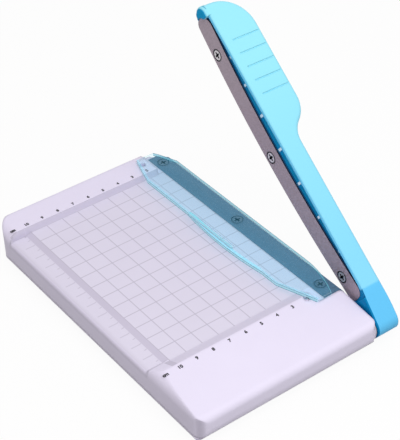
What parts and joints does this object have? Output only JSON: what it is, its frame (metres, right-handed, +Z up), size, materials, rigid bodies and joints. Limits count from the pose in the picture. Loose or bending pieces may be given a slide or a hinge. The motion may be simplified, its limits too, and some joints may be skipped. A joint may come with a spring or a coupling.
{
  "type": "paper trimmer",
  "caption": "Small desk paper trimmer: a ruled board with a clear guard over a fixed blade, and a hinged lever with a bowed blade that shears paper at the board's edge.",
  "frame": {"origin": "on the desk, under the middle of the object's box with the lever as drawn", "axes": "+X from the ruler strip to the lever, +Y along the cut from the pivot to the far end, +Z up"},
  "size_m": [0.1378, 0.1914, 0.1353],
  "materials": {
    "base_plastic": "satin",
    "lever_plastic": "satin",
    "guard_plastic": "clear",
    "blade_steel": "ground",
    "screw_steel": "plated",
    "foot_rubber": "matte"
  },
  "bodies": {
    "base": {"base_shell": "base_plastic", "bottom_cover": "base_plastic", "cover_screw_1": "screw_steel", "cover_screw_2": "screw_steel", "cover_screw_3": "screw_steel", "cover_screw_4": "screw_steel", "foot_1": "foot_rubber", "foot_2": "foot_rubber", "foot_3": "foot_rubber", "foot_4": "foot_rubber", "fixed_blade": "blade_steel", "fixed_screw_1": "screw_steel", "fixed_screw_2": "screw_steel", "fixed_screw_3": "screw_steel", "paper_guard": "guard_plastic", "guard_screw_1": "screw_steel", "guard_screw_2": "screw_steel", "pivot_bolt": "screw_steel", "pivot_nut": "screw_steel", "washer_inner": "screw_steel", "washer_outer": "screw_steel", "spring_washer": "screw_steel"},
    "lever": {"lever_shell": "lever_plastic", "moving_blade": "blade_steel", "moving_screw_1": "screw_steel", "moving_screw_2": "screw_steel", "moving_screw_3": "screw_steel"}
  },
  "joints": [
    {"name": "lever_hinge", "type": "hinge", "parent": "base", "child": "lever", "pos_m": [0.0496, -0.08835, 0.0097], "axis": [1, 0, 0], "range_deg": [-37, 35]}
  ]
}
